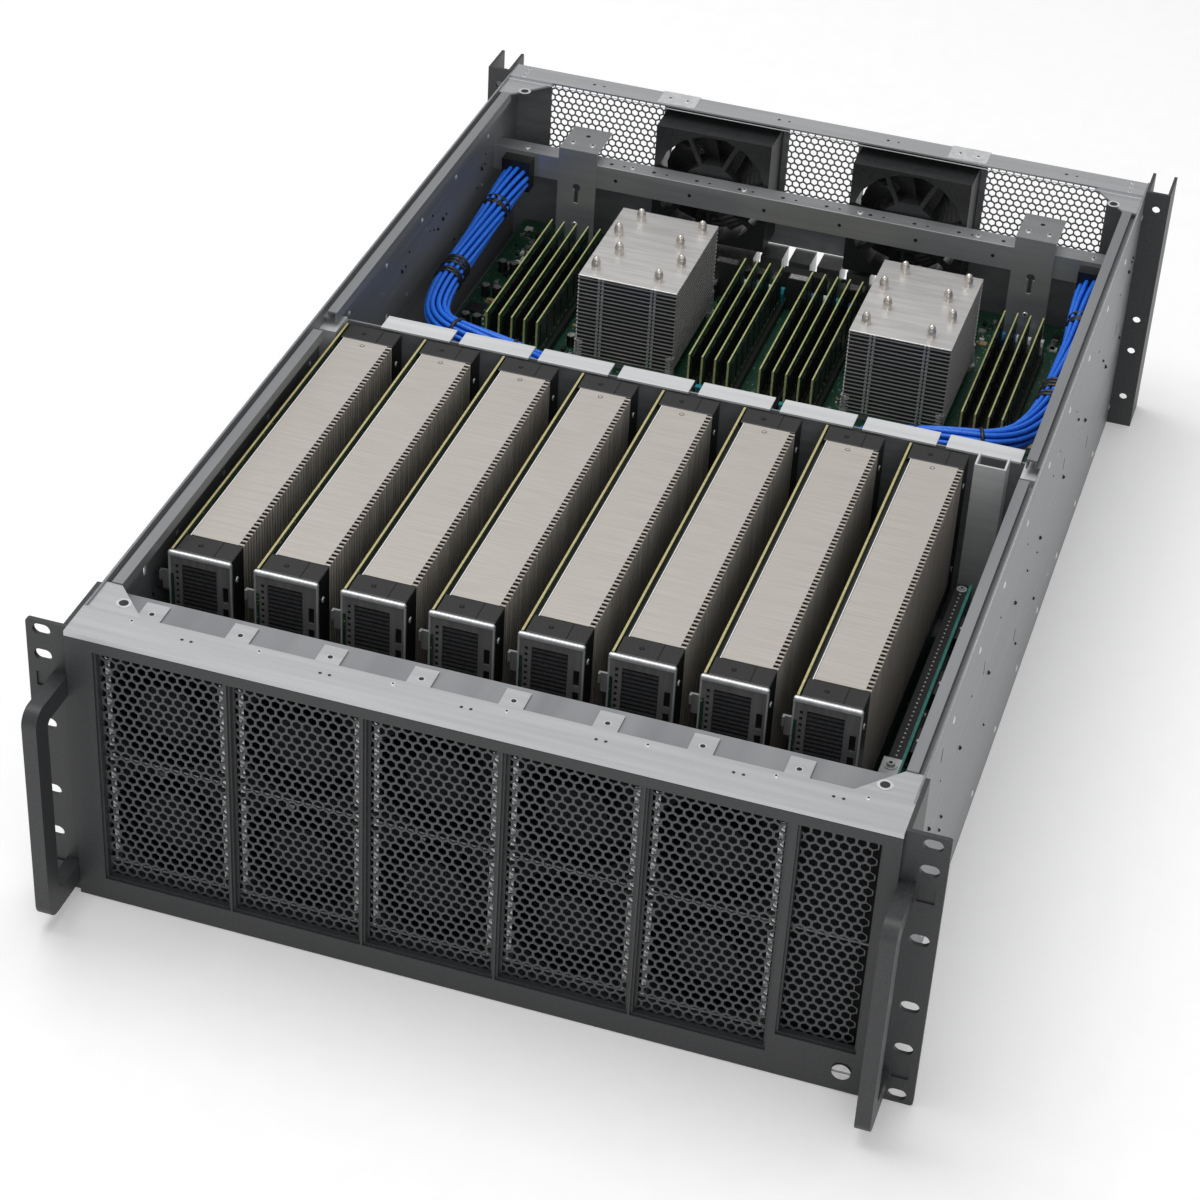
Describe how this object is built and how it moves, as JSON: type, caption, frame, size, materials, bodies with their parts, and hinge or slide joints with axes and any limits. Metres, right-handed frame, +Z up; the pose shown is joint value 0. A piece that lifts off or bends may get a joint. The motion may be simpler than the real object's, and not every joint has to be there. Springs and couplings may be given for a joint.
{
  "type": "rack server",
  "caption": "Open-topped 4U rack server case with upright accelerator cards, main board, finned coolers, cable bundles, honeycomb bezel and slide-in power supplies.",
  "frame": {"origin": "middle of the box round the whole part, on the underside of the case floor", "axes": "+X along the front to the right seen from the front, +Y from the front to the rear, +Z up"},
  "size_m": [0.4826, 0.763, 0.177],
  "materials": {
    "zinc_sheet": "zinc-plated sheet, brushed",
    "bright_sheet": "bright zinc-plated sheet, satin",
    "black_paint": "charcoal powder coat, satin",
    "mesh_paint": "charcoal powder coat, satin",
    "lock_steel": "nickel plated",
    "fan_plastic": "glass-filled black plastic, matte",
    "rotor_plastic": "black plastic, satin",
    "board_green": "green solder mask over glass laminate",
    "card_laminate": "dark green solder mask with pale laminate edges",
    "slot_plastic": "black connector plastic",
    "sink_aluminium": "brushed, pale warm grey",
    "cap_plastic": "black plastic, fine texture",
    "bracket_steel": "nickel-plated sheet",
    "cooler_aluminium": "satin",
    "pipe_nickel": "nickel-plated copper",
    "memory_laminate": "green solder mask, pale edges",
    "latch_plastic": "teal plastic",
    "port_steel": "plated shells",
    "bundle_blue": "royal-blue sleeved wires",
    "clip_plastic": "black nylon",
    "supply_shell": "grey plated sheet"
  },
  "bodies": {
    "root": {"beam_brackets": "zinc_sheet", "bezel_frame": "black_paint", "bezel_mesh": "mesh_paint", "board_connectors": "slot_plastic", "card_board": "board_green", "card_brackets": "bracket_steel", "card_circuit_boards": "card_laminate", "card_clips": "bright_sheet", "card_end_caps": "cap_plastic", "card_heat_sinks": "sink_aluminium", "card_slots": "slot_plastic", "chassis_floor": "zinc_sheet", "cross_beam": "zinc_sheet", "fan_cage": "bright_sheet", "front_fan_frames": "fan_plastic", "handle_left": "black_paint", "handle_right": "black_paint", "harness_clips": "clip_plastic", "harness_left": "bundle_blue", "harness_right": "bundle_blue", "heat_pipe_tips": "pipe_nickel", "main_board": "board_green", "memory_modules": "memory_laminate", "memory_sockets": "slot_plastic", "mid_deck": "zinc_sheet", "mid_partition": "zinc_sheet", "partition_plates": "bright_sheet", "power_board": "board_green", "processor_coolers": "cooler_aluminium", "rack_ears": "black_paint", "rear_fan_frames": "fan_plastic", "rear_io_ports": "port_steel", "rear_posts": "black_paint", "rear_wall": "zinc_sheet", "side_wall_left": "zinc_sheet", "side_wall_right": "zinc_sheet", "top_rails": "bright_sheet"},
    "front_rotor_1": {"front_rotor_1": "rotor_plastic"},
    "front_rotor_2": {"front_rotor_2": "rotor_plastic"},
    "front_rotor_3": {"front_rotor_3": "rotor_plastic"},
    "front_rotor_4": {"front_rotor_4": "rotor_plastic"},
    "front_rotor_5": {"front_rotor_5": "rotor_plastic"},
    "front_rotor_6": {"front_rotor_6": "rotor_plastic"},
    "front_rotor_7": {"front_rotor_7": "rotor_plastic"},
    "front_rotor_8": {"front_rotor_8": "rotor_plastic"},
    "front_rotor_9": {"front_rotor_9": "rotor_plastic"},
    "front_rotor_10": {"front_rotor_10": "rotor_plastic"},
    "rear_rotor_1": {"rear_rotor_1": "rotor_plastic"},
    "rear_rotor_2": {"rear_rotor_2": "rotor_plastic"},
    "bezel_lock": {"bezel_lock": "lock_steel"},
    "memory_latches_front": {"memory_latches_front": "latch_plastic"},
    "memory_latches_rear": {"memory_latches_rear": "latch_plastic"},
    "power_supply_1": {"power_supply_1": "supply_shell"},
    "supply_latch_1": {"supply_latch_1": "clip_plastic"},
    "power_supply_2": {"power_supply_2": "supply_shell"},
    "supply_latch_2": {"supply_latch_2": "clip_plastic"},
    "power_supply_3": {"power_supply_3": "supply_shell"},
    "supply_latch_3": {"supply_latch_3": "clip_plastic"},
    "power_supply_4": {"power_supply_4": "supply_shell"},
    "supply_latch_4": {"supply_latch_4": "clip_plastic"}
  },
  "joints": [
    {"name": "front_fan_1_spin", "type": "hinge", "parent": "root", "child": "front_rotor_1", "pos_m": [-0.167, -0.3195, 0.0587], "axis": [0, 1, 0], "continuous": true},
    {"name": "front_fan_2_spin", "type": "hinge", "parent": "root", "child": "front_rotor_2", "pos_m": [-0.0935, -0.3195, 0.0587], "axis": [0, 1, 0], "continuous": true},
    {"name": "front_fan_3_spin", "type": "hinge", "parent": "root", "child": "front_rotor_3", "pos_m": [-0.02, -0.3195, 0.0587], "axis": [0, 1, 0], "continuous": true},
    {"name": "front_fan_4_spin", "type": "hinge", "parent": "root", "child": "front_rotor_4", "pos_m": [0.0535, -0.3195, 0.0587], "axis": [0, 1, 0], "continuous": true},
    {"name": "front_fan_5_spin", "type": "hinge", "parent": "root", "child": "front_rotor_5", "pos_m": [0.127, -0.3195, 0.0587], "axis": [0, 1, 0], "continuous": true},
    {"name": "front_fan_6_spin", "type": "hinge", "parent": "root", "child": "front_rotor_6", "pos_m": [-0.167, -0.3195, 0.1305], "axis": [0, 1, 0], "continuous": true},
    {"name": "front_fan_7_spin", "type": "hinge", "parent": "root", "child": "front_rotor_7", "pos_m": [-0.0935, -0.3195, 0.1305], "axis": [0, 1, 0], "continuous": true},
    {"name": "front_fan_8_spin", "type": "hinge", "parent": "root", "child": "front_rotor_8", "pos_m": [-0.02, -0.3195, 0.1305], "axis": [0, 1, 0], "continuous": true},
    {"name": "front_fan_9_spin", "type": "hinge", "parent": "root", "child": "front_rotor_9", "pos_m": [0.0535, -0.3195, 0.1305], "axis": [0, 1, 0], "continuous": true},
    {"name": "front_fan_10_spin", "type": "hinge", "parent": "root", "child": "front_rotor_10", "pos_m": [0.127, -0.3195, 0.1305], "axis": [0, 1, 0], "continuous": true},
    {"name": "rear_fan_1_spin", "type": "hinge", "parent": "root", "child": "rear_rotor_1", "pos_m": [-0.068, 0.3355, 0.127], "axis": [0, 1, 0], "continuous": true},
    {"name": "rear_fan_2_spin", "type": "hinge", "parent": "root", "child": "rear_rotor_2", "pos_m": [0.068, 0.3355, 0.127], "axis": [0, 1, 0], "continuous": true},
    {"name": "bezel_lock_turn", "type": "hinge", "parent": "root", "child": "bezel_lock", "pos_m": [0.2035, -0.3415, 0.0145], "axis": [0, 1, 0], "range_deg": [0, 90]},
    {"name": "front_latches_turn", "type": "hinge", "parent": "root", "child": "memory_latches_front", "pos_m": [0, 0.15498, 0.067], "axis": [1, 0, 0], "range_deg": [0, 32]},
    {"name": "rear_latches_turn", "type": "hinge", "parent": "root", "child": "memory_latches_rear", "pos_m": [0, 0.29337, 0.067], "axis": [-1, 0, 0], "range_deg": [0, 32]},
    {"name": "supply_1_slide", "type": "slide", "parent": "root", "child": "power_supply_1", "axis": [0, 1, 0], "range_m": [0, 0.19]},
    {"name": "latch_1_press", "type": "hinge", "parent": "power_supply_1", "child": "supply_latch_1", "pos_m": [-0.08875, 0.3548, 0.0075], "axis": [0, 0, 1], "range_deg": [0, 12], "stiffness_Nm_per_rad": 0.1},
    {"name": "supply_2_slide", "type": "slide", "parent": "root", "child": "power_supply_2", "axis": [0, 1, 0], "range_m": [0, 0.19]},
    {"name": "latch_2_press", "type": "hinge", "parent": "power_supply_2", "child": "supply_latch_2", "pos_m": [-0.00675, 0.3548, 0.0075], "axis": [0, 0, 1], "range_deg": [0, 12], "stiffness_Nm_per_rad": 0.1},
    {"name": "supply_3_slide", "type": "slide", "parent": "root", "child": "power_supply_3", "axis": [0, 1, 0], "range_m": [0, 0.19]},
    {"name": "latch_3_press", "type": "hinge", "parent": "power_supply_3", "child": "supply_latch_3", "pos_m": [0.07525, 0.3548, 0.0075], "axis": [0, 0, 1], "range_deg": [0, 12], "stiffness_Nm_per_rad": 0.1},
    {"name": "supply_4_slide", "type": "slide", "parent": "root", "child": "power_supply_4", "axis": [0, 1, 0], "range_m": [0, 0.19]},
    {"name": "latch_4_press", "type": "hinge", "parent": "power_supply_4", "child": "supply_latch_4", "pos_m": [0.15725, 0.3548, 0.0075], "axis": [0, 0, 1], "range_deg": [0, 12], "stiffness_Nm_per_rad": 0.1}
  ]
}
